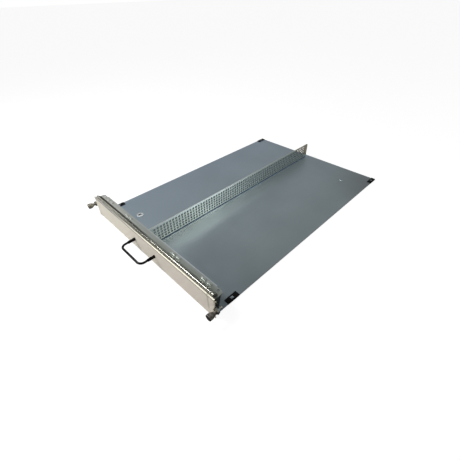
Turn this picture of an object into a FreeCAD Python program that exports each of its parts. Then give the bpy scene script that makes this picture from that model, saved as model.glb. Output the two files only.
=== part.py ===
import FreeCAD, Part
import math
import os

# Line card slot filler: a folded sheet tray that closes an empty card slot, with a face panel,
# a perforated airflow divider, spring-finger shielding strips and two captive thumbscrews.
# Millimetres. X runs along the panel to the right, Y into the slot, Z up.
# The origin is midway between the two captive screws, on the plane where the ears seat.

V = FreeCAD.Vector
X_AXIS = V(1, 0, 0)
Y_AXIS = V(0, 1, 0)
Z_AXIS = V(0, 0, 1)

# Whole filler
tray_width = 364.0
panel_height = 44.4          # one 44.45 mm slot pitch less a running gap
panel_width = 365.0
panel_x = 2.5                # the face and its handle sit right of the tray's middle
panel_thick = 2.0
sheet_thick = 1.2            # tray and divider sheet
bend_inside = 1.2            # inside radius of every fold
tray_depth = 540.3           # seating plane to back edge
underside = -panel_height / 2
floor_top = underside + sheet_thick
half_width = tray_width / 2
panel_back = -sheet_thick
panel_front = panel_back - panel_thick

# Upper flange of the tray
flange_top = 16.4
flange_depth = 20.6
lug_depth = 19.0             # the flange's two ends are a little narrower
lug_length = 15.0
lug_chamfer = 3.0
lug_hole_radius = 2.0
lug_hole_inset = 7.8
lug_hole_y = 15.6
lance_width = 8.6            # raised lances that stop the top gasket
lance_depth = 3.8
lance_height = 0.9
lance_y = 15.4
lance_gap = 13.4             # between the two lances of a pair
lance_pair_x = (-149.0, -74.5, 74.5, 149.0)

# Tabs that close the ends behind the panel and carry the end gaskets
tab_bottom = -19.4
tab_top = 14.6
tab_depth_top = 13.0         # the back edge slopes
tab_depth_bottom = 6.4

# Ears and captive screws
screw_spacing = 378.0
ear_radius = 4.8             # round end about the screw
collar_flats = 9.6           # hexagon of the retainer, in front of the ear
collar_front = -4.4
notch_radius = 5.7           # in the panel's right end, round the collar
retainer_radius = 2.6
retainer_front = -9.6        # reaches just inside the knob
retainer_back = -0.6         # stops short of the seating plane
press_gap = 0.02
running_gap = 0.05
shank_radius = 1.6
thread_radius = 2.0          # M4, plain here
thread_start = 0.0           # shoulder level with the seating plane
thread_tip = 8.0
knob_flats = 16              # grip flutes round the knob
knob_radius = 5.5            # over the flutes' corners
knob_back_radius = 3.5
knob_back = -8.6
knob_front = -18.9
knob_taper_start = -13.0
knob_edge = 0.7
knob_bore_radius = 2.95
knob_bore_end = -15.6
spring_radius = 2.35         # middle of the wire
spring_wire = 0.5            # square in section
spring_turns = 3
spring_steps = 6             # straight runs in one turn
spring_clearance = 0.1

# Pull handle
handle_span = 63.5
handle_reach = 28.5          # face to the middle of the bar
rod_radius = 2.0             # M4 thread on both ends, plain here
rod_hole_radius = 2.2
rod_end = 4.4
handle_bend = 9.0
bend_steps = 3               # short runs in each bend
ferrule_radius = 2.75
ferrule_length = 14.0
nut_flats = 7.0
nut_thick = 3.2

# Perforated divider
divider_x = -14.0            # right face of the wall
divider_top = 16.2
divider_front = 1.5
divider_back = 530.3
divider_corner = 4.0         # rounded top corner at the back
divider_foot = 13.0
flange_clearance = 0.7
hole_side = 4.4
hole_columns = 69
hole_rows = 5
hole_pitch_y = 7.1
hole_pitch_z = 6.1
hole_first_y = 30.3
hole_middle_z = -2.0

# Spring-finger strips
finger_pitch = 4.76
finger_slot = 0.9
finger_thick = 0.4
top_fingers = 75
end_fingers = 7
end_strip_z = -2.4
top_crest = (3.0, 23.6)
top_rail_end = 19.8          # below the panel's top edge

# Edge glides on the plate's corners
glide_length = 25.0
glide_width = 9.5
glide_wall = 1.0
glide_over = 1.2
glide_under = 0.8
glide_front_y = (27.3, tray_depth - glide_length)
window_length = 6.0
window_width = 4.6
latch_margin = 0.3           # free space round the latch in its window
latch_height = 1.0

# Pressed details of the plate
floor_hole_x = -113.4
floor_hole_y = 54.0
floor_hole_radius = 4.0
stop_x = 123.0
stop_y = 479.3
stop_length = 10.0
stop_width = 3.0
stop_height = 0.6


def block(low, high):
    """A box between two opposite corners."""
    size = high - low
    return Part.makeBox(size.x, size.y, size.z, low)


def plate_block(x, y, bottom, width, depth, height):
    """A box centred on x and y that stands on bottom."""
    return block(V(x - width / 2, y - depth / 2, bottom), V(x + width / 2, y + depth / 2, bottom + height))


def bar(x, y_from, y_to, radius):
    """A round bar along Y at height zero."""
    return Part.makeCylinder(radius, y_to - y_from, V(x, y_from, 0), Y_AXIS)


def folded_face(corners, thick, inside, place):
    """Section of a folded sheet. Corners follow the outer side, and every fold turns towards the sheet."""
    points = [V(u, v, 0) for u, v in corners]
    first = points[1] - points[0]
    second = points[2] - points[1]
    side = 1 if first.cross(second).z > 0 else -1
    outer, inner = [points[0]], []
    edges = []
    for before, corner, after in zip(points, points[1:], points[2:]):
        back = (before - corner).normalize()
        ahead = (after - corner).normalize()
        centre = corner + (back + ahead) * (inside + thick)
        middle = (corner - centre).normalize()
        for radius, ends in ((inside + thick, outer), (inside, inner)):
            start = centre - ahead * radius
            finish = centre - back * radius
            ends.extend((start, finish))
            arc = Part.Arc(place(start), place(centre + middle * radius), place(finish))
            edges.append(arc.toShape())
    outer.append(points[-1])
    starts = normal_offset(points[0], points[1], side * thick)
    finishes = normal_offset(points[-1], points[-2], -side * thick)
    inner = [starts] + inner + [finishes]
    for run in (outer, inner):
        for start, finish in zip(run[::2], run[1::2]):
            edges.append(Part.LineSegment(place(start), place(finish)).toShape())
    edges.append(Part.LineSegment(place(outer[0]), place(inner[0])).toShape())
    edges.append(Part.LineSegment(place(outer[-1]), place(inner[-1])).toShape())
    return Part.Face(Part.Wire(Part.__sortEdges__(edges)))


def normal_offset(point, towards, distance):
    """The point moved sideways from its run by a distance, to the left where it is positive."""
    run = (towards - point).normalize()
    return point + V(-run.y, run.x, 0) * distance


def carrier_tray():
    """Plate, upstand and top flange folded from one sheet, with ears, end tabs, lances and pierced holes."""
    outline = [
        (tray_depth, underside), (panel_back, underside),
        (panel_back, flange_top), (flange_depth, flange_top),
    ]
    section = folded_face(outline, sheet_thick, bend_inside, lambda p: V(-half_width, p.x, p.y))
    tray = section.extrude(X_AXIS * tray_width)
    raised = [make(side) for side in (-1, 1) for make in (ear, end_tab)]
    for pair_x in lance_pair_x:
        for side in (-1, 1):
            x = pair_x + side * lance_gap / 2
            raised.append(plate_block(x, lance_y, flange_top, lance_width, lance_depth, lance_height))
    raised.append(plate_block(stop_x, stop_y, floor_top, stop_length, stop_width, stop_height))
    for side in (-1, 1):
        for y in glide_front_y:
            raised.append(glide_latch(side, y))
    tray = tray.fuse(raised)
    return tray.cut(tray_cuts()).removeSplitter()


def ear(side):
    """Screw ear at one end of the upstand, rounded about the screw."""
    x = screw_spacing / 2
    arm = block(V(half_width - 1, panel_back, -ear_radius), V(x, 0, ear_radius))
    shape = arm.fuse(bar(x, panel_back, 0, ear_radius))
    return shape if side > 0 else shape.mirror(V(0, 0, 0), X_AXIS)


def end_tab(side):
    """Tab turned back from one end of the upstand, with a sloping back edge."""
    inner = -half_width if side < 0 else half_width - sheet_thick
    corners = [(-0.5, tab_bottom), (tab_depth_bottom, tab_bottom), (tab_depth_top, tab_top), (-0.5, tab_top)]
    points = [V(inner, y, z) for y, z in corners]
    return Part.Face(Part.makePolygon(points + points[:1])).extrude(X_AXIS * sheet_thick)


def tray_cuts():
    """Everything punched out of the tray: screw holes, glide notches and the flange's narrow ends."""
    cuts = []
    below, above = flange_top - 2 * sheet_thick, flange_top + sheet_thick
    for side in (-1, 1):
        x = side * screw_spacing / 2
        cuts.append(bar(x, panel_back - 1, 1, retainer_radius + press_gap))
        cuts.append(bar(panel_x + side * handle_span / 2, panel_back - 1, 1, rod_hole_radius))
        hole = V(side * (half_width - lug_hole_inset), lug_hole_y, below)
        cuts.append(Part.makeCylinder(lug_hole_radius, above - below, hole))
        cuts.append(lug_trim(side, below, above))
        for y in glide_front_y:
            edge = side * half_width
            inner = edge - side * glide_wall
            low = V(min(edge, inner), y, underside - 1)
            cuts.append(block(low, V(max(edge, inner), y + glide_length, floor_top + 1)))
    low = V(floor_hole_x, floor_hole_y, underside - 1)
    cuts.append(Part.makeCylinder(floor_hole_radius, sheet_thick + 2, low))
    return cuts


def lug_trim(side, below, above):
    """Strip taken off the back of one end of the flange, with its corner cut across."""
    inner, outer = half_width - lug_length, half_width + 1
    slope = lug_chamfer + 1
    corners = [(inner, lug_depth), (outer - slope, lug_depth), (outer, lug_depth - slope)]
    corners += [(outer, flange_depth + 1), (inner, flange_depth + 1)]
    points = [V(side * x, y, below) for x, y in corners]
    return Part.Face(Part.makePolygon(points + points[:1])).extrude(Z_AXIS * (above - below))


def glide_latch(side, y):
    """Half-sheared step of the plate that a glide's window snaps over."""
    x = side * (half_width - glide_width / 2)
    width, length = window_width - 2 * latch_margin, window_length - 2 * latch_margin
    return plate_block(x, y + glide_length / 2, floor_top, width, length, latch_height)


def glide(side, y):
    """Plastic glide that wraps the plate's edge and is held by the latch in its window."""
    outer, inner = half_width, half_width - glide_width
    body = block(V(inner, y, underside - glide_under), V(outer, y + glide_length, floor_top + glide_over))
    slot = block(V(inner - 1, y - 1, underside), V(outer - glide_wall, y + glide_length + 1, floor_top))
    x, middle = half_width - glide_width / 2, y + glide_length / 2
    window = plate_block(x, middle, floor_top, window_width, window_length, 2 * glide_over)
    shape = body.cut([slot, window])
    return shape if side > 0 else shape.mirror(V(0, 0, 0), X_AXIS)


def airflow_divider():
    """Perforated wall on a folded foot. Its front end passes under the flange."""
    fold_top = floor_top + sheet_thick + bend_inside
    foot = [(divider_x - divider_foot, floor_top), (divider_x, floor_top), (divider_x, fold_top + 1)]
    section = folded_face(foot, sheet_thick, bend_inside, lambda p: V(p.x, divider_front, p.y))
    base = section.extrude(Y_AXIS * (divider_back - divider_front))
    wall = Part.makeFace([wall_outline(fold_top + 1)] + wall_holes(), "Part::FaceMakerBullseye")
    wall = wall.extrude(X_AXIS * -sheet_thick)
    return base.fuse(wall).removeSplitter()


def wall_outline(bottom):
    """Outline of the wall: stepped down under the flange, rounded at the top back corner."""
    step_y = flange_depth + flange_clearance
    step_z = flange_top - sheet_thick - flange_clearance
    points = [
        (divider_front, bottom), (divider_front, step_z), (step_y, step_z), (step_y, divider_top),
        (divider_back - divider_corner, divider_top), (divider_back, divider_top - divider_corner),
        (divider_back, bottom),
    ]
    at = [V(divider_x, y, z) for y, z in points]
    edges = [Part.LineSegment(a, b).toShape() for a, b in zip(at[:4], at[1:5])]
    diagonal = divider_corner * (1 - math.sqrt(0.5))
    corner = V(divider_x, divider_back - diagonal, divider_top - diagonal)
    edges.append(Part.Arc(at[4], corner, at[5]).toShape())
    edges.append(Part.LineSegment(at[5], at[6]).toShape())
    edges.append(Part.LineSegment(at[6], at[0]).toShape())
    return Part.Wire(edges)


def wall_holes():
    """Straight grid of square holes, as wires in the wall's plane."""
    half = hole_side / 2
    holes = []
    for column in range(hole_columns):
        y = hole_first_y + column * hole_pitch_y
        for row in range(hole_rows):
            z = hole_middle_z + (row - (hole_rows - 1) / 2) * hole_pitch_z
            turns = ((-1, -1), (1, -1), (1, 1), (-1, 1))
            points = [V(divider_x, y + a * half, z + b * half) for a, b in turns]
            holes.append(Part.makePolygon(points + points[:1]))
    return holes


def front_panel():
    """Face plate with softened front edges, two holes for the handle and a notch at the right screw."""
    left, right = panel_x - panel_width / 2, panel_x + panel_width / 2
    plate = block(V(left, panel_front, underside), V(right, panel_back, -underside))
    front = [e for e in plate.Edges if abs(e.CenterOfMass.y - panel_front) < 0.01]
    plate = plate.makeChamfer(0.4, front)
    rounds = [(panel_x + side * handle_span / 2, rod_hole_radius) for side in (-1, 1)]
    rounds.append((screw_spacing / 2, notch_radius))
    return plate.cut([bar(x, panel_front - 1, panel_back + 1, radius) for x, radius in rounds])


def finger_strip(count, profile):
    """Spring strip along X. A rail rises to a crest, and separate fingers slope back from it to a toe.

    profile holds (y, z) points of the outer side: both ends of the rail, the crest and the toe.
    """
    length = count * finger_pitch
    outer = [V(0, y, z) for y, z in profile]
    runs = [(b - a).normalize() for a, b in zip(outer, outer[1:])]
    inward = [X_AXIS.cross(run) * -finger_thick for run in runs]
    inner = [outer[0] + inward[0]]
    for here, before, after in zip(outer[1:3], inward, inward[1:]):
        square = finger_thick ** 2
        inner.append(here + (before + after) * (square / (square + before.dot(after))))
    land = finger_thick
    outer_land, inner_land = outer[2] + runs[2] * land, outer[2] + runs[2] * land + inward[2]
    points = outer[:3] + [outer_land, inner_land] + inner[::-1]
    start = V(-length / 2, 0, 0)
    spine = Part.Face(Part.makePolygon([p + start for p in points + points[:1]])).extrude(X_AXIS * length)
    finger_width = finger_pitch - finger_slot
    reach = outer[3] - outer_land
    fingers = []
    for index in range(count):
        corner = outer_land + V(-length / 2 + index * finger_pitch + finger_slot / 2, 0, 0)
        width = X_AXIS * finger_width
        edge = [corner, corner + width, corner + width + reach, corner + reach]
        fingers.append(Part.Face(Part.makePolygon(edge + edge[:1])).extrude(inward[2]))
    return spine.fuse(fingers).removeSplitter()


def top_gasket():
    """Long strip behind the panel's top edge, with its toes just above the flange."""
    rail = [(panel_back, flange_top + 0.2), (panel_back, top_rail_end)]
    return finger_strip(top_fingers, rail + [top_crest, (10.3, flange_top + 0.6)])


def end_gasket(side):
    """Short strip on the outside of one end tab, turned so that its fingers bulge outwards."""
    seat = finger_thick + running_gap
    strip = finger_strip(end_fingers, [(0.3, seat), (0.9, seat), (2.6, 2.4), (6.0, seat + 0.2)])
    strip.rotate(V(0, 0, 0), Y_AXIS, 90 * side)
    strip.translate(V(side * half_width, 0, end_strip_z))
    return strip


def pull_handle():
    """U-bent rod through the face and the upstand, lofted through round sections along its path."""
    bar_y = panel_front - handle_reach
    turns = [90 * step / bend_steps for step in range(bend_steps + 1)]
    half = [rod_section(handle_span / 2, rod_end, 0)]
    for turn in turns:
        angle = math.radians(turn)
        x = handle_span / 2 - handle_bend * (1 - math.cos(angle))
        y = bar_y + handle_bend * (1 - math.sin(angle))
        half.append(rod_section(x, y, turn))
    other = [section.copy() for section in half]
    for section in other:
        section.rotate(V(0, 0, 0), Y_AXIS, 180)
        section.reverse()
    rod = Part.makeLoft(half + other[::-1], True, True)
    rod.translate(V(panel_x, 0, 0))
    return rod


def rod_section(x, y, turn):
    """Round section of the rod at a point of its path, turned about Z by degrees."""
    across = V(-math.sin(math.radians(turn)), -math.cos(math.radians(turn)), 0)
    return Part.Wire(Part.makeCircle(rod_radius, V(x, y, 0), across))


def handle_ferrules():
    """Sleeves crimped round the handle's legs, which seat on the face."""
    front = panel_front - ferrule_length
    sleeves = []
    for side in (-1, 1):
        x = panel_x + side * handle_span / 2
        sleeve = bar(x, front, panel_front, ferrule_radius)
        sleeves.append(sleeve.cut(bar(x, front - 1, panel_front + 1, rod_radius + running_gap)))
    return Part.makeCompound(sleeves)


def hexagon(x, y_from, y_to, flats):
    """A hexagonal bar along Y, with one corner on top."""
    corner = flats / math.sqrt(3)
    turns = [math.radians(60 * step + 30) for step in range(7)]
    points = [V(x + corner * math.cos(turn), y_from, corner * math.sin(turn)) for turn in turns]
    return Part.Face(Part.makePolygon(points)).extrude(Y_AXIS * (y_to - y_from))


def handle_nuts():
    """Hexagon nuts that clamp the handle, the face and the upstand together."""
    nuts = []
    for side in (-1, 1):
        x = panel_x + side * handle_span / 2
        nut = hexagon(x, 0, nut_thick, nut_flats)
        nuts.append(nut.cut(bar(x, -1, nut_thick + 1, rod_radius + running_gap)))
    return Part.makeCompound(nuts)


def screw_retainers():
    """Sleeves pressed into the ears up to a hexagonal collar, which guide the captive screws."""
    sleeves = []
    for side in (-1, 1):
        x = side * screw_spacing / 2
        sleeve = bar(x, retainer_front, retainer_back, retainer_radius)
        sleeve = sleeve.fuse(hexagon(x, collar_front, panel_back, collar_flats))
        sleeves.append(sleeve.cut(bar(x, retainer_front - 1, 0, shank_radius + running_gap)))
    return Part.makeCompound(sleeves)


def thumbscrew(side):
    """Fluted knob, relieved shank and thread in one piece. The thread can't pass the retainer's bore."""
    x = side * screw_spacing / 2
    outline = [
        (knob_front, knob_radius - knob_edge), (knob_front + knob_edge, knob_radius),
        (knob_taper_start, knob_radius), (knob_back, knob_back_radius),
    ]
    knob = skinned([fluted_ring(x, y, radius) for y, radius in outline])
    knob = knob.cut(bar(x, knob_bore_end, knob_back + 1, knob_bore_radius))
    shank = bar(x, knob_bore_end - 1, thread_start, shank_radius)
    return knob.fuse([shank, bar(x, thread_start, thread_tip, thread_radius)]).removeSplitter()


def fluted_ring(x, y, radius):
    """Regular outline of the knob's grip at one place along its axis."""
    turns = [2 * math.pi * step / knob_flats for step in range(knob_flats)]
    return [V(x + radius * math.cos(turn), y, radius * math.sin(turn)) for turn in turns]


def skinned(rings):
    """Solid through a row of closed rings with equally many points, skinned with flat triangles."""
    faces = [Part.Face(Part.makePolygon(ring + ring[:1])) for ring in (rings[0], rings[-1])]
    for ring, following in zip(rings, rings[1:]):
        for a in range(len(ring)):
            b = (a + 1) % len(ring)
            for corners in ((ring[a], ring[b], following[b]), (ring[a], following[b], following[a])):
                faces.append(Part.Face(Part.makePolygon(list(corners) + [corners[0]])))
    solid = Part.Solid(Part.Shell(faces))
    if solid.Volume < 0:
        solid.reverse()
    return solid


def coil_spring(side):
    """Square-wire spring between the retainer's nose and the end of the knob's bore, in short flats."""
    x = side * screw_spacing / 2
    start = knob_bore_end + spring_clearance
    free = retainer_front - spring_clearance - start - spring_wire
    count = spring_turns * spring_steps
    rings = []
    for step in range(count + 1):
        angle = 2 * math.pi * step / spring_steps
        outwards = V(math.cos(angle), 0, math.sin(angle))
        near = V(x, start + free * step / count, 0) + outwards * (spring_radius - spring_wire / 2)
        far = near + outwards * spring_wire
        rings.append([near, far, far + Y_AXIS * spring_wire, near + Y_AXIS * spring_wire])
    return skinned(rings)


def parts():
    """Every piece of the filler by name."""
    pieces = {
        "carrier_tray": carrier_tray(),
        "airflow_divider": airflow_divider(),
        "front_panel": front_panel(),
        "top_gasket": top_gasket(),
        "pull_handle": pull_handle(),
        "handle_ferrules": handle_ferrules(),
        "handle_nuts": handle_nuts(),
        "screw_retainers": screw_retainers(),
    }
    for side, name in ((-1, "left"), (1, "right")):
        pieces[name + "_gasket"] = end_gasket(side)
        pieces[name + "_thumbscrew"] = thumbscrew(side)
        pieces[name + "_spring"] = coil_spring(side)
        for y, end in zip(glide_front_y, ("front", "back")):
            pieces[f"{end}_{name}_glide"] = glide(side, y)
    return pieces


os.makedirs("parts", exist_ok=True)
for node, shape in parts().items():
    shape.exportStep(f"parts/{node}.step")
    print(node, "valid" if shape.isValid() else "NOT VALID", len(shape.Solids), round(shape.Volume, 1))
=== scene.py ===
# %% [markdown]
# # A line card slot filler
#
# This lesson dresses a blank that closes an empty card slot in a large router. It is a long folded tray
# of zinc-plated sheet with a cream face panel, a perforated wall that steers the cooling air, rows of
# thin spring fingers that keep radio noise in, a pull handle and two captive thumbscrews. The solids come
# from the packed part, which is never moved. Each step below adds what the solids leave out.

# %% Load the packed part
import math

import bmesh
import bpy
import numpy as np
from mathutils import Matrix, Vector


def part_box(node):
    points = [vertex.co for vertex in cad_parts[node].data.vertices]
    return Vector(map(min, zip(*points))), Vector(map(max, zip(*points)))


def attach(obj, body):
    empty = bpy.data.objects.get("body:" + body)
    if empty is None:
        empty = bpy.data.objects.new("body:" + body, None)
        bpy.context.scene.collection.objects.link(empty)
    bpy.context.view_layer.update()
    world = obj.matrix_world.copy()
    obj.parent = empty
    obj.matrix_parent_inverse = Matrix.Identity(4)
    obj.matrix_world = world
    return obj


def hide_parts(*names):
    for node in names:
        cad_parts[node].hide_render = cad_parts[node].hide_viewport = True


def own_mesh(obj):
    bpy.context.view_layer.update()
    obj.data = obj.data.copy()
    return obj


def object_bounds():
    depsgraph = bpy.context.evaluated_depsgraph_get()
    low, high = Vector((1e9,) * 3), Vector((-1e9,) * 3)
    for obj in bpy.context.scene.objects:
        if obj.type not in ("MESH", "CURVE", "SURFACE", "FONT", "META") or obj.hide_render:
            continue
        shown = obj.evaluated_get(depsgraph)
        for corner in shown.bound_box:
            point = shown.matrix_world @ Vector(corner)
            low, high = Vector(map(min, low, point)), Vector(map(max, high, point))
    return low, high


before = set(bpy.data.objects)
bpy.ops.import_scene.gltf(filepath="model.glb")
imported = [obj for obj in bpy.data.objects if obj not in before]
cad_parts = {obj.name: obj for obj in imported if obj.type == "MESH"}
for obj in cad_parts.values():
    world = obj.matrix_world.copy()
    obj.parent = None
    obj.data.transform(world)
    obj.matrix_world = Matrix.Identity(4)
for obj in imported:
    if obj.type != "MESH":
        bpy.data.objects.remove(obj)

MM = 0.001
cad_low, cad_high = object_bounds()
print("CAD box in mm:", [round(side / MM, 1) for side in cad_high - cad_low])

# %% [markdown]
# ## Making meshes from arrays
#
# Every new piece is a grid of points: a profile carried round an axis or along a path. Working on whole
# arrays keeps the code short, because the rows and columns of the grid also give the faces. Doubled points
# at poles and seams are merged afterwards, and the faces are then turned to point outwards.

# %% Grids, faces and objects
# Points that lie closer than this, in metres, are merged.
SEAM_GAP = 1e-7


def grid_faces(rows, columns, wrap_rows=False, wrap_columns=False):
    """Quads of a grid of points numbered row by row.

    A wrapped direction joins its last line to its first.
    """
    row = np.arange(rows if wrap_rows else rows - 1)
    column = np.arange(columns if wrap_columns else columns - 1)
    row, column = np.meshgrid(row, column, indexing="ij")
    next_row, next_column = (row + 1) % rows, (column + 1) % columns
    corners = [(row, column), (row, next_column), (next_row, next_column), (next_row, column)]
    return np.stack([r * columns + c for r, c in corners], -1).reshape(-1, 4)


def joined(*surfaces):
    """Several (points, faces) surfaces as one: each one's points are numbered on from the last one's."""
    starts = np.cumsum([0] + [len(points) for points, _ in surfaces])
    points = np.concatenate([points for points, _ in surfaces])
    return points, np.concatenate([faces + start for (_, faces), start in zip(surfaces, starts)])


def dressed(name, mesh, finish, body, sharp_degrees):
    """An object of the mesh with its finish, smooth up to an angle and riding on a CAD body."""
    mesh.shade_smooth()
    mesh.set_sharp_from_angle(angle=math.radians(sharp_degrees))
    mesh.materials.append(finish)
    piece = bpy.data.objects.new(name, mesh)
    bpy.context.scene.collection.objects.link(piece)
    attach(piece, body)
    print(f"{name}: {len(mesh.polygons)} faces")
    return piece


def add_piece(name, surface, finish, body, sharp_degrees=35):
    """A new piece from points in metres and faces, with doubles merged and faces turned outwards."""
    points, faces = surface
    mesh = bpy.data.meshes.new(name)
    mesh.from_pydata(points.tolist(), [], faces.tolist())
    shell = bmesh.new()
    shell.from_mesh(mesh)
    bmesh.ops.remove_doubles(shell, verts=shell.verts, dist=SEAM_GAP)
    bmesh.ops.recalc_face_normals(shell, faces=shell.faces)
    shell.to_mesh(mesh)
    shell.free()
    return dressed(name, mesh, finish, body, sharp_degrees)


print("faces of a ring of 4 by 8 points:", len(grid_faces(4, 8, False, True)))


# %% Profiles, turned shapes and tubes
def unit(vectors):
    """Each vector divided by its own length."""
    return vectors / np.linalg.norm(vectors, axis=-1, keepdims=True)


def rounded(corners, radius, steps=6, closed=False):
    """A path whose corners are arcs; an open path keeps its two ends.

    Each arc's centre lies on its corner's bisector, radius / sin(half the angle) away from the corner.
    """
    corner = np.asarray(corners, float)
    back = unit(np.roll(corner, 1, 0) - corner)
    ahead = unit(np.roll(corner, -1, 0) - corner)
    half = np.arccos(np.clip((back * ahead).sum(-1), -1, 1)) / 2
    radius = np.broadcast_to(radius, len(corner))
    centre = corner + unit(back + ahead) * (radius / np.sin(half))[:, None]
    reach = (radius / np.tan(half))[:, None]
    start, finish = corner + back * reach - centre, corner + ahead * reach - centre
    sweep = (np.pi - 2 * half)[:, None]
    share = np.linspace(0, 1, steps + 1)
    first, last = np.sin((1 - share) * sweep) / np.sin(sweep), np.sin(share * sweep) / np.sin(sweep)
    arcs = centre[:, None] + first[..., None] * start[:, None] + last[..., None] * finish[:, None]
    if closed:
        return arcs.reshape(-1, corner.shape[1])
    return np.concatenate([corner[:1], arcs[1:-1].reshape(-1, corner.shape[1]), corner[-1:]])


def turned(profile, centre, sides=48, axis="Y", closed=False):
    """A turned shape: each (along, radius) point runs round the axis in a circle of its radius."""
    along, radius = np.asarray(profile, float).T[:, :, None]
    angle = np.linspace(0, 2 * np.pi, sides, endpoint=False)
    across, up = radius * np.cos(angle), radius * np.sin(angle)
    along = np.broadcast_to(along, across.shape)
    order = (across, along, up) if axis == "Y" else (across, up, along)
    points = np.stack(order, -1) + np.asarray(centre, float)
    return points.reshape(-1, 3), grid_faces(len(profile), sides, closed, True)


def tube(path, radius, side, sides=24):
    """A round bar along a path: at every point a circle is drawn on side and on side x direction."""
    path = np.asarray(path, float)
    direction = unit(np.gradient(path, axis=0))
    side = unit(side - (side * direction).sum(-1, keepdims=True) * direction)
    other = np.cross(direction, side)
    angle = np.linspace(0, 2 * np.pi, sides, endpoint=False)[:, None]
    radius = np.broadcast_to(radius, len(path))[:, None, None]
    circle = np.cos(angle) * side[:, None] + np.sin(angle) * other[:, None]
    points = path[:, None] + radius * circle
    return points.reshape(-1, 3), grid_faces(len(path), sides, False, True)


print("points of a path with one rounded corner:", len(rounded([(0, 1), (0, 0), (1, 0)], 0.5)))

# %% [markdown]
# ## Finishes
#
# All the finishes are node materials on Object coordinates, so they stay put when a piece moves. The nodes
# could be wired by hand in the shader editor. Here a small class adds them: noise gives slow colour changes
# and fine grain, a ramp or a band picks out a stretch of the surface, a mix blends two tints, and a bump
# turns grain into relief. Tints are given as screen colours, which are easy to compare with a picture.


# %% Colours and lengths
def screen(red, green, blue):
    """Linear colour of an 8-bit screen colour, by the sRGB curve."""
    share = np.array([red, green, blue]) / 255
    linear = np.where(share <= 0.04045, share / 12.92, ((share + 0.055) / 1.055) ** 2.4)
    return (*linear.tolist(), 1.0)


def mm(*lengths):
    """Lengths given in millimetres, in metres."""
    return tuple(length * MM for length in lengths)


print("middle grey on screen, in linear light:", round(screen(128, 128, 128)[0], 3))

# %% Nodes of a finish
# Places of the colour sockets on a Mix node.
MIX_FIRST = 6
MIX_SECOND = 7
MIX_RESULT = 2


class Recipe:
    """A node tree being put together; most methods add a node and give an output of it to go on with."""

    def __init__(self, tree):
        self.nodes = tree.nodes
        self.links = tree.links

    def feed(self, node, sockets):
        """A node's inputs: an output is linked to its socket, and a plain value is set on it."""
        for socket, value in sockets.items():
            if isinstance(value, bpy.types.NodeSocket):
                self.links.new(value, node.inputs[socket])
            else:
                node.inputs[socket].default_value = value
        return node

    def add(self, kind, sockets):
        """A new node with its inputs fed."""
        return self.feed(self.nodes.new(kind), sockets)

    def axes(self, output="Object"):
        """X, Y and Z of one of Texture Coordinate's outputs."""
        where = self.nodes.new("ShaderNodeTexCoord")
        return self.add("ShaderNodeSeparateXYZ", {"Vector": where.outputs[output]}).outputs

    def noise(self, size_mm, detail=3, stretch=(1, 1, 1)):
        """Noise between 0 and 1 with features about size_mm across, drawn out where stretch is below 1."""
        where = self.nodes.new("ShaderNodeTexCoord")
        placed = self.add("ShaderNodeMapping", {"Vector": where.outputs["Object"], "Scale": stretch})
        sockets = {"Vector": placed.outputs["Vector"], "Scale": 1 / (size_mm * MM), "Detail": detail}
        return self.add("ShaderNodeTexNoise", sockets).outputs["Fac"]

    def ramp(self, value, low, high, to_low=0, to_high=1):
        """The value moved from one range to another and kept inside it."""
        sockets = {"Value": value, "From Min": low, "From Max": high, "To Min": to_low, "To Max": to_high}
        return self.add("ShaderNodeMapRange", sockets).outputs["Result"]

    def math(self, operation, first, *others):
        """Values put together, one after the other, by one of the Math node's operations.

        An operation that needs one value alone gets a 0 for the other.
        """
        for other in others or [0]:
            node = self.nodes.new("ShaderNodeMath")
            node.operation = operation
            first = self.feed(node, {0: first, 1: other}).outputs[0]
        return first

    def band(self, value, start, full, fade, end, share=1):
        """A plateau: 0 up to start, the share from full to fade, and 0 again from end."""
        rise = self.ramp(value, start, full, 0, share)
        return self.math("MULTIPLY", rise, self.ramp(value, fade, end, 1, 0))

    def mix(self, share, first, second):
        """A colour between two others; each is a colour or an output."""
        node = self.nodes.new("ShaderNodeMix")
        node.data_type = "RGBA"
        self.feed(node, {"Factor": share, MIX_FIRST: first, MIX_SECOND: second})
        return node.outputs[MIX_RESULT]

    def layered(self, tint, *layers):
        """A colour with others laid over it in turn, each one as far as its share goes."""
        for share, shade in layers:
            tint = self.mix(share, tint, shade)
        return tint

    def bump(self, height, depth_mm):
        """The normal of a relief that is depth_mm deep where the height goes from 0 to 1."""
        return self.add("ShaderNodeBump", {"Height": height, "Distance": depth_mm * MM}).outputs["Normal"]

    def blend(self, share, first, second):
        """A shader between two others."""
        return self.add("ShaderNodeMixShader", {"Fac": share, 1: first, 2: second}).outputs[0]


def new_finish(name, metallic, roughness):
    """A material, its Principled shader and a recipe for its nodes."""
    material = bpy.data.materials.new(name)
    material.use_nodes = True
    recipe = Recipe(material.node_tree)
    shader = recipe.nodes["Principled BSDF"]
    recipe.feed(shader, {"Metallic": metallic, "Roughness": roughness})
    return material, shader, recipe


print("kinds of node helper:", ", ".join(name for name in vars(Recipe) if not name.startswith("_")))

# %% [markdown]
# ## Zinc-plated sheet
#
# The tray and the wall are steel sheet with a zinc plate. Close to, it has faint rolling grain along its
# length and cloudy patches where the passivation took differently. It is a metal, so it shows what it
# mirrors in its own tint, and the roughness decides how far the wall's mirror image on the tray is smeared.
# Both sheets share two helpers for this, and each then gets its own tints.

# %% Clouds and rolling grain
# Sizes and depths of grain are in millimetres, here and in the finishes below.
CLOUD_SIZE = 110
CLOUD_NOISE = (0.35, 0.75)
CLOUD_SHARE = 0.35
GRAIN_SIZE = 1.2
GRAIN_STRETCH = (1, 0.03, 1)
GRAIN_NOISE = (0.4, 0.8)
GRAIN_SHARE = 0.12
GRAIN_DEPTH = 0.0015
GLOSS_SIZE = 60
GLOSS_DRIFT = 0.03
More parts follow.
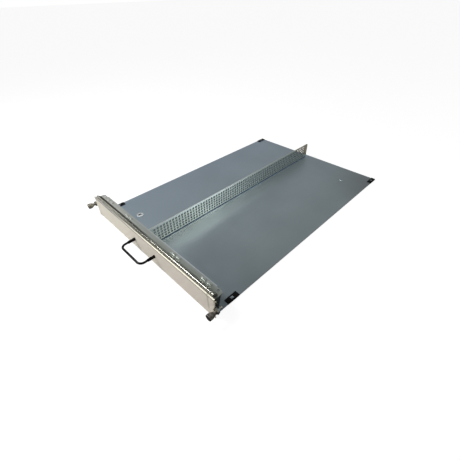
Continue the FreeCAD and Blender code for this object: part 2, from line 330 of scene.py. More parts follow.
# The stretch of a noise's range that most of a surface lies in.
USUAL_NOISE = (0.3, 0.7)


def clouded(recipe, tint, dark):
    """The tint with patches of a darker one where a slow noise is high."""
    cloud = recipe.ramp(recipe.noise(CLOUD_SIZE), *CLOUD_NOISE, 0, CLOUD_SHARE)
    return recipe.mix(cloud, tint, dark)


def rolled(recipe, tint, dark, roughness):
    """Colour, roughness and normal of rolled sheet.

    A noise drawn out along Y darkens the tint and gives the relief, and a slow noise moves the roughness.
    """
    grain = recipe.noise(GRAIN_SIZE, detail=2, stretch=GRAIN_STRETCH)
    share = recipe.ramp(grain, *GRAIN_NOISE, 0, GRAIN_SHARE)
    glossy, dull = roughness - GLOSS_DRIFT, roughness + GLOSS_DRIFT
    return {
        "Base Color": recipe.mix(share, tint, dark),
        "Roughness": recipe.ramp(recipe.noise(GLOSS_SIZE), *USUAL_NOISE, glossy, dull),
        "Normal": recipe.bump(grain, GRAIN_DEPTH),
    }


print(f"clouds {CLOUD_SIZE} mm across, grain {GRAIN_SIZE} mm")

# %% [markdown]
# ## The tray's zinc
#
# The tray's tint drifts from blue to green along X. The plate is painted darker at its right corners, as
# painted shade, and darker in a strip behind the wall, a painted shadow of the wall that the holes look
# onto.
# A bright bluish line along the wall's face is a painted reflection of its fold. The flange above it has
# tints of its own, a painted shadow beside the spring fingers and a painted highlight on its back edge.
# Masks for these could be painted, but all of them lie along an axis, so ramps of X, Y and Z find them.

# %% Tray finish
TRAY_TINTS = (screen(174, 190, 204), screen(184, 199, 202))
TRAY_DARK = screen(150, 163, 170)
TRAY_ROUGHNESS = 0.40
# Painted shade at the plate's right corners: a span of Y, the shares at its ends, a span of X and the tint.
PAINTED_CORNER_SHADES = (
    (mm(50, 160), (0.7, 0), mm(0, 80), TRAY_DARK),
    (mm(380, 520), (0, 0.5), mm(80, 180), screen(122, 119, 118)),
)
# Painted strips beside the wall, a shadow of the wall behind it and a reflection of its fold in front: four
# X values of a band, from the wall's face, the share and the tint.
PAINTED_WALL_SHADOW_AND_REFLECTION = (
    (mm(-43, -38, -13, -8), 0.5, screen(60, 70, 72)),
    (mm(-0.3, 0.2, 1.2, 1.7), 0.9, screen(190, 222, 255)),
)
FLANGE_TINTS = (screen(202, 203, 197), screen(186, 192, 187))
FLANGE_DRIFT_X = mm(-150, -30)
FLANGE_RIGHT_X = mm(-60, 60)
# Painted shadow of the spring fingers on the flange, and a painted highlight along its back edge.
FLANGE_SHADE = screen(128, 134, 124)
FLANGE_SHADE_Y = mm(13.1, 18.1)
FLANGE_SHADE_SHARE = 0.48
LANCE_FOOT_Z = mm(16.45, 16.6)
BACK_EDGE_HIGHLIGHT = screen(222, 232, 238)
BACK_EDGE_HIGHLIGHT_Y = mm(18.6, 19.8)
BACK_EDGE_HIGHLIGHT_SHARE = 0.8
# Heights between which the lower tints of both sheets give way to the upper ones.
UPPER_Z = mm(10, 14)
wall_low, wall_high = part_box("airflow_divider")


def flange_tint(recipe, spot):
    """Two tints by X, with a painted shadow of the fingers and a painted highlight on the back edge by Y,
    both growing towards the right.

    The painted shadow ends at the height of the flange, so that the lances on it stay bright.
    """
    tint = recipe.mix(recipe.ramp(spot["X"], *FLANGE_DRIFT_X), *FLANGE_TINTS)
    rightward = recipe.ramp(spot["X"], *FLANGE_RIGHT_X)
    shade = recipe.ramp(spot["Y"], *FLANGE_SHADE_Y, FLANGE_SHADE_SHARE, 0)
    flat = recipe.ramp(spot["Z"], *LANCE_FOOT_Z, 1, 0)
    edge = recipe.ramp(spot["Y"], *BACK_EDGE_HIGHLIGHT_Y, 0, BACK_EDGE_HIGHLIGHT_SHARE)
    return recipe.layered(
        tint, (recipe.math("MULTIPLY", shade, flat, rightward), FLANGE_SHADE),
        (recipe.math("MULTIPLY", edge, rightward), BACK_EDGE_HIGHLIGHT))


def tray_finish():
    """Clouded zinc with painted shade at the corners, a painted shadow and a painted reflection beside the
    wall, and the flange's tint above the plate.
    """
    material, shader, recipe = new_finish("tray_zinc", 1.0, TRAY_ROUGHNESS)
    spot = recipe.axes()
    tint = recipe.mix(recipe.ramp(spot["X"], cad_low.x, cad_high.x), *TRAY_TINTS)
    tint = clouded(recipe, tint, TRAY_DARK)
    for y_span, shares, x_span, shade in PAINTED_CORNER_SHADES:
        along, across = recipe.ramp(spot["Y"], *y_span, *shares), recipe.ramp(spot["X"], *x_span)
        tint = recipe.mix(recipe.math("MULTIPLY", along, across), tint, shade)
    for edges, share, shade in PAINTED_WALL_SHADOW_AND_REFLECTION:
        strip = recipe.band(spot["X"], *(wall_high.x + edge for edge in edges), share)
        tint = recipe.mix(strip, tint, shade)
    tint = recipe.mix(recipe.ramp(spot["Z"], *UPPER_Z), tint, flange_tint(recipe, spot))
    recipe.feed(shader, rolled(recipe, tint, TRAY_DARK, TRAY_ROUGHNESS))
    return material


tray_zinc = tray_finish()
print("tray:", tray_zinc.name)

# %% [markdown]
# ## The wall's zinc
#
# The wall goes from pale to grey along Y. Its upper part stays pale further back, a painted highlight along
# the top. Its fold is painted dark on the outer face, as shade under the bend, and the foot behind it is
# painted darker, as shade under the wall. The sides of its punched holes are raw steel, painted much darker
# than steel as the shade inside the holes. They could be a second material slot, but the solid is never
# changed, so the material finds them by height and normal.

# %% Wall finish
WALL_TINTS = (screen(244, 245, 228), screen(212, 216, 210))
WALL_DRIFT_Y = mm(120, 300)
# Painted highlight: the wall's upper part stays pale further back.
WALL_TOP_HIGHLIGHT_TINTS = (screen(252, 253, 244), screen(214, 218, 208))
WALL_TOP_HIGHLIGHT_DRIFT_Y = mm(200, 400)
WALL_DARK = screen(206, 210, 200)
WALL_ROUGHNESS = 0.22
# Heights above the wall's underside between which the fold ends, and depths behind its face likewise.
FOLD_RISE = mm(1.4, 1.8)
FOLD_DEPTH = mm(0.8, 0.4)
# Painted shade: a dark line on the fold's outer face and a darker foot behind the wall.
FOLD_SHADE_TINT = screen(42, 66, 104)
FOOT_SHADE_TINT = screen(128, 140, 140)
HOLES_ABOVE_FOOT = 3 * MM
HOLES_BELOW_TOP = 0.5 * MM
RAW_SOFT = 0.2 * MM
RAW_FACING = (0.3, 0.6)
# Raw steel of the hole sides, painted far darker than steel as the shade inside the holes.
RAW_STEEL_AND_HOLE_SHADE = screen(36, 42, 40)
RAW_ROUGHNESS = 0.75


def raw_sides(recipe, height):
    """1 at the heights of the holes on faces that don't look along X, 0 elsewhere."""
    low, high = wall_low.z + HOLES_ABOVE_FOOT, wall_high.z - HOLES_BELOW_TOP
    level = recipe.band(height, low, low + RAW_SOFT, high - RAW_SOFT, high)
    facing = recipe.math("ABSOLUTE", recipe.axes("Normal")["X"])
    return recipe.math("MULTIPLY", recipe.ramp(facing, *RAW_FACING, 1, 0), level)


def wall_finish():
    """Clouded zinc with a painted highlight along the top, painted shade on the fold and the foot, and raw
    hole sides painted dark as shade.
    """
    material, shader, recipe = new_finish("wall_zinc", 1.0, WALL_ROUGHNESS)
    spot = recipe.axes()
    tint = recipe.mix(recipe.ramp(spot["Y"], *WALL_DRIFT_Y), *WALL_TINTS)
    upper = recipe.mix(recipe.ramp(spot["Y"], *WALL_TOP_HIGHLIGHT_DRIFT_Y), *WALL_TOP_HIGHLIGHT_TINTS)
    tint = recipe.mix(recipe.ramp(spot["Z"], *UPPER_Z), clouded(recipe, tint, WALL_DARK), upper)
    sheet = rolled(recipe, tint, WALL_DARK, WALL_ROUGHNESS)
    outside = recipe.ramp(spot["X"], *(wall_high.x - depth for depth in FOLD_DEPTH))
    foot = recipe.mix(outside, FOOT_SHADE_TINT, FOLD_SHADE_TINT)
    fold = recipe.ramp(spot["Z"], *(wall_low.z + rise for rise in FOLD_RISE), 1, 0)
    raw = raw_sides(recipe, spot["Z"])
    rough = recipe.math("MULTIPLY", raw, RAW_ROUGHNESS)
    sheet["Base Color"] = recipe.layered(sheet["Base Color"], (fold, foot), (raw, RAW_STEEL_AND_HOLE_SHADE))
    sheet["Roughness"] = recipe.math("MAXIMUM", sheet["Roughness"], rough)
    recipe.feed(shader, sheet)
    return material


wall_zinc = wall_finish()
print("wall:", wall_zinc.name)

# %% [markdown]
# ## Powder coat
#
# The face is powder coated: a cream with a fine orange-peel surface, warmer and a little darker towards the
# right, where the darkening is painted shade of the light falling off along the face. A darker line under
# the top edge is painted shade, a pale ridge on the edge is a painted highlight, and at the left the edge is
# painted grey as shade where it is less lit. Near the right end a faint darker streak leans down the face.
# All are bands of the height or the length, which suits a flat panel better than painting a mask.

# %% Powder coat
# Warmer and a little darker towards the right; the darkening is painted shade of the light falling off along
# the face.
COAT_TINTS = (screen(228, 223, 208), screen(222, 212, 200))
COAT_DRIFT_X = mm(-100, 100)
# Noises in the coat: size in mm, detail, the range that counts, the share and the tint.
COAT_NOISES = (
    (45, 4, (0.3, 0.75), 0.5, screen(212, 205, 192)),
    (1.5, 1, (0.6, 0.8), 0.25, screen(190, 183, 171)),
)
# Painted shade: a darker line just under the top edge.
EDGE_SHADOW = screen(150, 144, 128)
EDGE_SHADOW_Z = mm(18.4, 19.8, 20.6, 21.6)
EDGE_SHADOW_SHARE = 0.85
# Painted highlight on the ridge of the top edge.
RIDGE_HIGHLIGHT = screen(250, 246, 226)
RIDGE_HIGHLIGHT_Z = mm(21.5, 22.0)
# Painted shade: a grey band at the left end of the top edge, where it is less lit.
LEFT_EDGE_SHADE = screen(138, 137, 133)
LEFT_EDGE_SHADE_Z = mm(18.4, 19.6)
LEFT_EDGE_SHADE_X = mm(-90, 40)
LEFT_EDGE_SHADE_SHARE = 0.9
# A faint darker streak leaning down the face near the right end.
DARK_STREAK = screen(150, 148, 128)
DARK_STREAK_X = mm(169.0, 172.2, 172.2, 175.4)
DARK_STREAK_FOOT_Z = mm(-12, -4)
DARK_STREAK_LEAN_Z = mm(-20, 20)
DARK_STREAK_LEAN_X = mm(-0.8, 0.8)
DARK_STREAK_SHARE = 0.6
PEEL_SIZE = 0.9
PEEL_DEPTH = 0.02
COAT_ROUGHNESS = 0.5
PEEL_ROUGHNESS = (0.42, 0.58)


def coat_finish():
    """Two tints by X and two noises, under painted shade at the top edge, a painted ridge highlight, painted
    shade at the left end of the edge and a leaning darker streak.
    """
    material, shader, recipe = new_finish("cream_powder_coat", 0.0, COAT_ROUGHNESS)
    spot = recipe.axes()
    tint = recipe.mix(recipe.ramp(spot["X"], *COAT_DRIFT_X), *COAT_TINTS)
    for size, detail, span, share, shade in COAT_NOISES:
        tint = recipe.mix(recipe.ramp(recipe.noise(size, detail), *span, 0, share), tint, shade)
    edge_shadow = recipe.band(spot["Z"], *EDGE_SHADOW_Z, EDGE_SHADOW_SHARE)
    ridge_highlight = recipe.ramp(spot["Z"], *RIDGE_HIGHLIGHT_Z)
    upper = recipe.ramp(spot["Z"], *LEFT_EDGE_SHADE_Z, 0, LEFT_EDGE_SHADE_SHARE)
    left_edge_shade = recipe.math("MULTIPLY", upper, recipe.ramp(spot["X"], *LEFT_EDGE_SHADE_X, 1, 0))
    leaning = recipe.math("ADD", spot["X"], recipe.ramp(spot["Z"], *DARK_STREAK_LEAN_Z, *DARK_STREAK_LEAN_X))
    streak = recipe.band(leaning, *DARK_STREAK_X, DARK_STREAK_SHARE)
    dark_streak = recipe.math("MULTIPLY", streak, recipe.ramp(spot["Z"], *DARK_STREAK_FOOT_Z))
    tint = recipe.layered(tint, (edge_shadow, EDGE_SHADOW), (ridge_highlight, RIDGE_HIGHLIGHT), (left_edge_shade, LEFT_EDGE_SHADE), (dark_streak, DARK_STREAK))
    peel = recipe.noise(PEEL_SIZE, detail=2)
    smear = recipe.ramp(peel, *USUAL_NOISE, *PEEL_ROUGHNESS)
    recipe.feed(shader, {"Base Color": tint, "Roughness": smear, "Normal": recipe.bump(peel, PEEL_DEPTH)})
    return material


cream_coat = coat_finish()
print("coat:", cream_coat.name)

# %% [markdown]
# ## Black enamel and plastic
#
# The handle has a smooth black enamel, duller where hands rub it, and the glides a black plastic with a fine
# grain. Deep black needs little highlight of its own, so the specular level is low, and one recipe with
# another grain serves both.

# %% Black finishes
BLACK = screen(5, 5, 6)
WORN_BLACK = screen(9, 9, 10)
WEAR_SIZE = 6
WEAR_NOISE = (0.45, 0.8)
WEAR_SHARE = 0.6
BLACK_SPECULAR = 0.12
BLACK_GLOSSIER = 0.08
BLACK_DULLER = 0.1


def black_finish(name, roughness, grain_mm, depth_mm):
    """Black, paler where a slow noise is high, with a fine noise in the roughness and the relief."""
    material, shader, recipe = new_finish(name, 0.0, roughness)
    wear = recipe.ramp(recipe.noise(WEAR_SIZE, detail=4), *WEAR_NOISE, 0, WEAR_SHARE)
    grain = recipe.noise(grain_mm, detail=2)
    recipe.feed(shader, {
        "Base Color": recipe.mix(wear, BLACK, WORN_BLACK),
        "Specular IOR Level": BLACK_SPECULAR,
        "Roughness": recipe.ramp(grain, *USUAL_NOISE, roughness - BLACK_GLOSSIER, roughness + BLACK_DULLER),
        "Normal": recipe.bump(grain, depth_mm),
    })
    return material


black_enamel = black_finish("black_enamel", roughness=0.36, grain_mm=0.8, depth_mm=0.004)
black_plastic = black_finish("black_plastic", roughness=0.55, grain_mm=0.35, depth_mm=0.012)
print("black finishes:", black_enamel.name, black_plastic.name)

# %% [markdown]
# ## Bright metal
#
# The spring fingers are thin bright strip, the screws and sleeves are plated steel with a warm grey cast,
# and the small parts inside are plain bright steel. All are one recipe with other tints: two greys mixed by
# a stain, and a fine grain in the roughness. The strip's left end has an added roughness that fades out
# along X, and there its back slope behind the crest is painted dark as shade. The two screws are a lit and a
# shaded copy of
# one metal: the left one is painted paler than the right one, as photographed. Behind the seating plane both
# have freshly cut threads, which stay bright.

# %% Bright metal finishes
STAIN_SIZE = 4
STAIN_NOISE = (0.35, 0.75)
STAIN_SHARE = 0.8
METAL_GLOSSIER = 0.03
METAL_DULLER = 0.05
METAL_DEPTH = 0.003
FRESH_CUT = screen(232, 232, 228)
FRESH_CUT_Y = mm(0, 0.2)
# Painted shade on the back slope behind the crest at the strip's left end, which is also rougher there.
BACK_SLOPE_SHADE = screen(104, 101, 92)
LEFT_END_X = mm(-110, 0)
BACK_SLOPE_Y = mm(3.4, 3.8)
LEFT_END_ROUGHNESS = 0.24


def metal_finish(name, bright, dull, roughness, grain_mm=0.5, cut=False, rough_shaded_left_end=False):
    """Two greys mixed by a noise; a cut piece is bright beyond the seating plane.

    With rough_shaded_left_end it is rougher at its left end, where its back slope behind the crest of the
    fingers is painted dark as shade.
    """
    material, shader, recipe = new_finish(name, 1.0, roughness)
    spot = recipe.axes()
    stain = recipe.ramp(recipe.noise(STAIN_SIZE, detail=4), *STAIN_NOISE, 0, STAIN_SHARE)
    tint = recipe.mix(stain, bright, dull)
    grain = recipe.noise(grain_mm, detail=2)
    smear = recipe.ramp(grain, *USUAL_NOISE, roughness - METAL_GLOSSIER, roughness + METAL_DULLER)
    if cut:
        tint = recipe.mix(recipe.ramp(spot["Y"], *FRESH_CUT_Y), tint, FRESH_CUT)
    if rough_shaded_left_end:
        leftward = recipe.ramp(spot["X"], *LEFT_END_X, 1, 0)
        behind = recipe.ramp(spot["Y"], *BACK_SLOPE_Y)
        tint = recipe.mix(recipe.math("MULTIPLY", leftward, behind), tint, BACK_SLOPE_SHADE)
        smear = recipe.math("ADD", smear, recipe.math("MULTIPLY", leftward, LEFT_END_ROUGHNESS))
    recipe.feed(shader, {"Base Color": tint, "Roughness": smear, "Normal": recipe.bump(grain, METAL_DEPTH)})
    return material


finger_strip_metal = metal_finish(
    "finger_strip_metal", screen(198, 196, 184), screen(176, 174, 164), roughness=0.12, grain_mm=0.6,
    rough_shaded_left_end=True)
# The two screws are a lit and a shaded copy of one metal: painted light on the left one, painted shade on
# the right one.
screw_metals_lit_and_shaded = {
    "left": metal_finish(
        "left_screw_metal_lit", screen(180, 176, 163), screen(142, 137, 126), roughness=0.45, cut=True),
    "right": metal_finish(
        "right_screw_metal_shaded", screen(132, 127, 121), screen(100, 95, 92), roughness=0.45, cut=True),
}
sleeve_metal = metal_finish("sleeve_metal", screen(150, 146, 136), screen(116, 111, 104), roughness=0.45)
bright_steel = metal_finish("bright_steel", screen(190, 190, 186), screen(150, 150, 146), roughness=0.28)
collar_zinc = metal_finish("collar_zinc", screen(214, 220, 220), screen(196, 202, 204), roughness=0.55)
print("metals:", finger_strip_metal.name, sleeve_metal.name, bright_steel.name, collar_zinc.name)

# %% [markdown]
# ## Dressing the solids
#
# The wall and the panel keep their solids, because a punched sheet and a flat plate have nothing to add.
# Only their material slots are filled. The tray gets its finish too, although a softened copy stands for it
# further down.

# %% Finishes on the CAD solids
SOLID_FINISHES = {
    "carrier_tray": tray_zinc,
    "airflow_divider": wall_zinc,
    "front_panel": cream_coat,
}
for node, finish in SOLID_FINISHES.items():
    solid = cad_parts[node]
    solid.data.materials.clear()
    solid.data.materials.append(finish)
print("dressed solids:", ", ".join(SOLID_FINISHES))

# %% [markdown]
# ## Pull handle
#
# A round rod bent to a U. The solid has its bends in short runs, so a smooth tube takes its place: a circle
# carried along a path whose two corners are true arcs. Its ends pass through the face and are threaded
# there. A thread could be made with a Screw modifier, but as a radius that depends on the angle it is only
# one more grid.

# %% Pull handle
HANDLE_BEND = 9 * MM
M4_PITCH = 0.7 * MM
M4_DEPTH = 0.36 * MM
handle_low, handle_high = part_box("pull_handle")
rod_radius = (handle_high.z - handle_low.z) / 2
legs_x = (handle_low.x + rod_radius, handle_high.x - rod_radius)
bar_y = handle_low.y + rod_radius
face_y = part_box("front_panel")[0].y


def thread(x, start, finish, major, sides=24, steps=8):
    """An M4 thread along Y: the radius falls by M4_DEPTH between crests, which climb one pitch in a turn.

    The last turn runs out to the root.
    """
    along = np.linspace(start, finish, int((finish - start) / M4_PITCH * steps) + 1)[:, None]
    angle = np.linspace(0, 2 * np.pi, sides, endpoint=False)
    saw = np.abs(((along / M4_PITCH - angle / (2 * np.pi)) % 1) * 2 - 1)
    lead = np.clip((finish - along) / M4_PITCH, 0, 1)
    radius = major - M4_DEPTH * np.maximum(saw, 1 - lead)
    rings = np.stack([x + radius * np.cos(angle), along + 0 * angle, radius * np.sin(angle)], -1)
    ends = [np.broadcast_to((x, y, 0.0), (1, sides, 3)) for y in (start, finish)]
    points = np.concatenate([ends[0], rings, ends[1]])
    return points.reshape(-1, 3), grid_faces(len(points), sides, False, True)


corners = [(legs_x[0], face_y), (legs_x[0], bar_y), (legs_x[1], bar_y), (legs_x[1], face_y)]
bends = rounded(corners, HANDLE_BEND, steps=18)
route = np.column_stack([bends, np.zeros(len(bends))])
rod = tube(route, rod_radius, np.broadcast_to((0.0, 0.0, 1.0), route.shape), sides=32)
ends = [thread(x, face_y, handle_high.y, rod_radius) for x in legs_x]
handle = add_piece("handle_rod", joined(rod, *ends), black_enamel, "carrier")
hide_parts("pull_handle")

# %% [markdown]
# ## Ferrules and nuts
#
# Two sleeves cover the rod's legs at the face, and two nuts hold its threaded ends behind the sheet. The
# sleeve is a small closed profile turned round the leg. The nut is a hexagon whose radius is cut back by a
# cone at both ends, which gives the curved chamfer lines that a bevelled prism would lack.

# %% Handle ferrules
FERRULE_EDGES = mm(0.1, 0.4, 0.15, 0.1)
low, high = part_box("handle_ferrules")
ferrule_radius = (high.z - low.z) / 2
section = [(low.y, rod_radius), (low.y, ferrule_radius), (high.y, ferrule_radius), (high.y, rod_radius)]
section = rounded(section, FERRULE_EDGES, steps=4, closed=True)
pair = [turned(section, (x, 0, 0), closed=True) for x in legs_x]
ferrules = add_piece("ferrules", joined(*pair), black_enamel, "carrier")
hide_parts("handle_ferrules")

# %% Handle nuts
NUT_RINGS = (0, 0.1, 0.2, 0.5, 0.8, 0.9, 1)
CHAMFER_START = 0.97
CHAMFER_SLOPE = math.tan(math.radians(60))
FLATS_PER_CORNERS = math.cos(math.pi / 6)
NUT_SHARP = 25


def hexagon_nut(x, low, high, flats, bore, sides=72):
    """A nut along Y with a corner on top: a hexagon, cut back by a 30 degree cone at both ends."""
    angle = np.linspace(0, 2 * np.pi, sides, endpoint=False)
    hexagon = flats / 2 / np.cos((angle + np.pi / 6) % (np.pi / 3) - np.pi / 6)
    share = np.array(NUT_RINGS)[:, None]
    cone = flats / 2 * CHAMFER_START + (high - low) * np.minimum(share, 1 - share) * CHAMFER_SLOPE
    outside = np.minimum(hexagon, cone)
    radius = np.concatenate([outside, np.full((2, sides), bore)])
    along = np.concatenate([low + (high - low) * share, [[high], [low]]]) + 0 * angle
    points = np.stack([x + radius * np.cos(angle), along, radius * np.sin(angle)], -1)
    return points.reshape(-1, 3), grid_faces(len(points), sides, True, True)


low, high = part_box("handle_nuts")
flats = (high.z - low.z) * FLATS_PER_CORNERS
pair = [hexagon_nut(x, low.y, high.y, flats, rod_radius) for x in legs_x]
nuts = add_piece("nuts", joined(*pair), bright_steel, "carrier", NUT_SHARP)
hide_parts("handle_nuts")

# %% [markdown]
# ## Captive thumbscrews
#
# Each knob is turned with a straight knurl on its thick end and a smooth taper behind it. A knurl is only a
# ripple in the radius, so it is added to the turned shape as a cosine of the angle, faded out at the ends of
# the grip. The thread is the same grid as on the handle.

# %% Captive thumbscrews
SHANK_RADIUS = 1.6 * MM
THREAD_RADIUS = 2.0 * MM
THREAD_START = 0.0 * MM
KNOB_BACK = -8.6 * MM
KNOB_TAPER_START = -13.0 * MM
KNOB_BACK_RADIUS = 3.5 * MM
KNOB_BORE = 2.95 * MM
KNOB_BORE_END = -15.6 * MM
KNOB_EDGES = mm(1, 0.8, 1.2, 0.4, 0.3, 0.3, 0.1, 0.1, 1)
GRIP_MARGINS = mm(0.9, 0.7)
GRIP_RINGS = 9
KNURLS = 36
KNURL_SIDES = 6
KNURL_DEPTH = 0.35 * MM
KNURL_FADE = 0.6 * MM
KNURL_LEAST_RADIUS = 0.95


def knurled_knob(x, front, radius):
    """The knob and shank turned in one, with a ripple on the grip's radius.

    The ripple is a cosine of KNURLS times the angle, faded out at the ends of the grip.
    """
    outline = [(front, 0), (front, radius), (KNOB_TAPER_START, radius), (KNOB_BACK, KNOB_BACK_RADIUS),
               (KNOB_BACK, KNOB_BORE), (KNOB_BORE_END, KNOB_BORE), (KNOB_BORE_END, SHANK_RADIUS),
               (THREAD_START, SHANK_RADIUS), (THREAD_START, 0)]
    profile = rounded(outline, KNOB_EDGES, steps=5)
    grip = np.linspace(front + GRIP_MARGINS[0], KNOB_TAPER_START - GRIP_MARGINS[1], GRIP_RINGS)
    # The first third of the profile runs back along Y, so the grip's place in it can be looked up.
    cut = np.searchsorted(profile[:len(profile) // 3, 0], grip[0])
    profile = np.insert(profile, cut, np.column_stack([grip, np.full(GRIP_RINGS, radius)]), 0)
    sides = KNURLS * KNURL_SIDES
    points, faces = turned(profile, (x, 0, 0), sides)
    wave = 0.5 - 0.5 * np.cos(KNURLS * np.linspace(0, 2 * np.pi, sides, endpoint=False))
    inside = np.clip(np.minimum(profile[:, 0] - grip[0], grip[-1] - profile[:, 0]) / KNURL_FADE, 0, 1)
    inside = inside * (profile[:, 1] > KNURL_LEAST_RADIUS * radius)
    scale = 1 - KNURL_DEPTH / radius * inside[:, None] * wave
    rings = points.reshape(len(profile), sides, 3)
    rings[..., 0] = x + (rings[..., 0] - x) * scale
    rings[..., 2] = rings[..., 2] * scale
    return rings.reshape(-1, 3), faces


for name in ("left", "right"):
    low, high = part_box(f"{name}_thumbscrew")
    x = (low.x + high.x) / 2
    knob = knurled_knob(x, low.y, (high.z - low.z) / 2)
    worm = thread(x, THREAD_START, high.y, THREAD_RADIUS, sides=32, steps=10)
    turning = joined(knob, worm)
    screw = add_piece(f"{name}_screw", turning, screw_metals_lit_and_shaded[name], f"{name}_thumbscrew")
    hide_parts(f"{name}_thumbscrew")

# %% [markdown]
# ## Springs and guide sleeves
#
# The spring that pushes the screw out sits in the knob and shortens as the screw goes in, so it is a tube on
# a helix that is squashed by the screw's travel. The screw runs in a sleeve pressed into the ear, with a
# hexagonal collar in front. Both are drawn once and repeated at the two screws.

# %% Springs
SPRING_TURNS = 3.0
SPRING_WIRE = 0.25 * MM
SPRING_POINTS = 200
WIRE_SIDES = 10
WIRE_END = 0.02


def coil_spring(x, low, high, radius):
    """A tube on a helix about Y: the angle and the place along Y both grow evenly from low to high.

    The wire is drawn to a point at its two ends, which closes them.
    """
    share = np.linspace(0, 1, SPRING_POINTS)
    angle = 2 * np.pi * SPRING_TURNS * share
    climb = low + SPRING_WIRE + (high - low - 2 * SPRING_WIRE) * share
    outwards = np.stack([np.cos(angle), 0 * angle, np.sin(angle)], -1)
    helix = outwards * (radius - SPRING_WIRE) + np.stack([0 * share + x, climb, 0 * share], -1)
    wire = SPRING_WIRE * np.clip(np.minimum(share, 1 - share) * SPRING_POINTS, WIRE_END, 1)
    return tube(helix, wire, outwards, WIRE_SIDES)


for name in ("left", "right"):
    low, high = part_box(f"{name}_spring")
    x = (low.x + high.x) / 2
    coil = coil_spring(x, low.y, high.y, high.x - x)
    spring = add_piece(f"{name}_coil", coil, bright_steel, f"{name}_spring")
    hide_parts(f"{name}_spring")
    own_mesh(spring)

# %% Guide sleeves
SLEEVE_RADIUS = 2.6 * MM
SLEEVE_EDGES = mm(0.1, 0.35, 0.1, 0.1)
SHANK_ROOM = 0.05 * MM
COLLAR_FRONT = -4.4 * MM
COLLAR_BACK = -1.2 * MM
low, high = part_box("screw_retainers")
bore = SHANK_RADIUS + SHANK_ROOM
section = [(low.y, bore), (low.y, SLEEVE_RADIUS), (high.y, SLEEVE_RADIUS), (high.y, bore)]
section = rounded(section, SLEEVE_EDGES, steps=4, closed=True)
flats = (high.z - low.z) * FLATS_PER_CORNERS
screws_x = (flats / 2 - high.x, high.x - flats / 2)
pair = [turned(section, (x, 0, 0), closed=True) for x in screws_x]
collars = [hexagon_nut(x, COLLAR_FRONT, COLLAR_BACK, flats, SLEEVE_RADIUS) for x in screws_x]
guides = joined(*pair, *collars)
sleeves = add_piece("guide_sleeves", guides, sleeve_metal, "carrier", NUT_SHARP)
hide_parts("screw_retainers")

# %% [markdown]
# ## Spring-finger strips
#
# The strips are stamped from thin bright sheet: a leg clipped behind the panel's edge, a rounded crest and a
# row of fingers whose toes slide on the neighbour. One profile serves both parts: its first stretch, carried
# along the whole strip, is the leg, and the rest, repeated at the pitch, makes the fingers.

# %% Leg and fingers
FINGER_PITCH = 4.76 * MM
FINGER_SLOT = 0.9 * MM
FINGER_THICK = 0.4 * MM
FINGER_SHARP = 30
LEG_SHARE = 0.45


def prism(loop, spans):
    """The loop, in (y, z), as a closed bar over each (from, to) span of X; the ends are strips of quads."""
    size = len(loop)
    points = np.empty((len(spans), 2, size, 3))
    points[..., 0] = spans[:, :, None]
    points[..., 1:] = loop
    sides = grid_faces(2, size, False, True)
    step = np.arange(size // 2 - 1)
    cap = np.stack([step, step + 1, size - 2 - step, size - 1 - step], -1)
    one = np.concatenate([sides, cap, cap[:, ::-1] + size])
    every = one + (np.arange(len(spans)) * 2 * size)[:, None, None]
    return points.reshape(-1, 3), every.reshape(-1, 4)


def finger_strip(corners, radii, count):
    """Leg and fingers along X. Each is a closed loop, the profile and its inner offset, carried along X.

    The first LEG_SHARE of the profile's points belongs to the leg, which has no slots.
    """
    outer = rounded(corners, radii, steps=6)
    run = unit(np.gradient(outer, axis=0))
    inner = outer + np.stack([run[:, 1], -run[:, 0]], -1) * FINGER_THICK
    split = int(len(outer) * LEG_SHARE)
    half = count * FINGER_PITCH / 2
    middle = (np.arange(count) + 0.5) * FINGER_PITCH - half
    reach = (FINGER_PITCH - FINGER_SLOT) / 2
    leg = np.concatenate([outer[:split + 1], inner[split::-1]])
    finger = np.concatenate([outer[split:], inner[:split - 1:-1]])
    return joined(prism(leg, np.array([[-half, half]])), prism(finger, middle[:, None] + [-reach, reach]))


print(f"fingers {FINGER_PITCH / MM:.2f} mm apart")

# %% Top strip
TOP_CREST_Y = 3.0 * MM
TOP_CREST_DROP = 3.8 * MM
TOP_TOE_LIFT = 0.5 * MM
TOP_RADII = mm(1, 0.8, 0.85, 1)
low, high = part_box("top_gasket")
count = round((high.x - low.x) / FINGER_PITCH)
profile = [(low.y, low.z), (low.y, high.z - TOP_CREST_DROP), (TOP_CREST_Y, high.z),
           (high.y, low.z + TOP_TOE_LIFT)]
strip = finger_strip(profile, TOP_RADII, count)
top = add_piece("top_fingers", strip, finger_strip_metal, "carrier", FINGER_SHARP)
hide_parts("top_gasket")

# %% End strips
END_CREST_Y = 2.6 * MM
END_LEG = 0.6 * MM
END_TOE_IN = 0.1 * MM
END_TOE_LIFT = 0.3 * MM
END_RADII = mm(1, 0.3, 0.8, 1)
for name, side in (("left", -1), ("right", 1)):
    low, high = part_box(f"{name}_gasket")
    count = round((high.z - low.z) / FINGER_PITCH)
    edge = high.x if side > 0 else -low.x
    seat = (low.x if side > 0 else -high.x) + FINGER_THICK
    profile = [(low.y, seat), (low.y + END_LEG, seat), (END_CREST_Y, edge),
               (high.y - END_TOE_IN, seat + END_TOE_LIFT)]
    points, faces = finger_strip(profile, END_RADII, count)
    along, depth, out = points.T
    middle = (low.z + high.z) / 2
    stood = (np.stack([side * out, depth, middle - side * along], -1), faces)
    strip = add_piece(f"{name}_fingers", stood, finger_strip_metal, "carrier", FINGER_SHARP)
    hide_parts(f"{name}_gasket")

# %% [markdown]
# ## Edge glides
#
# Four black plastic clips let the plate's corners slide in the chassis. Moulded parts have no sharp edges,
# so a copy of each solid is merged and given a small Bevel modifier in its place.

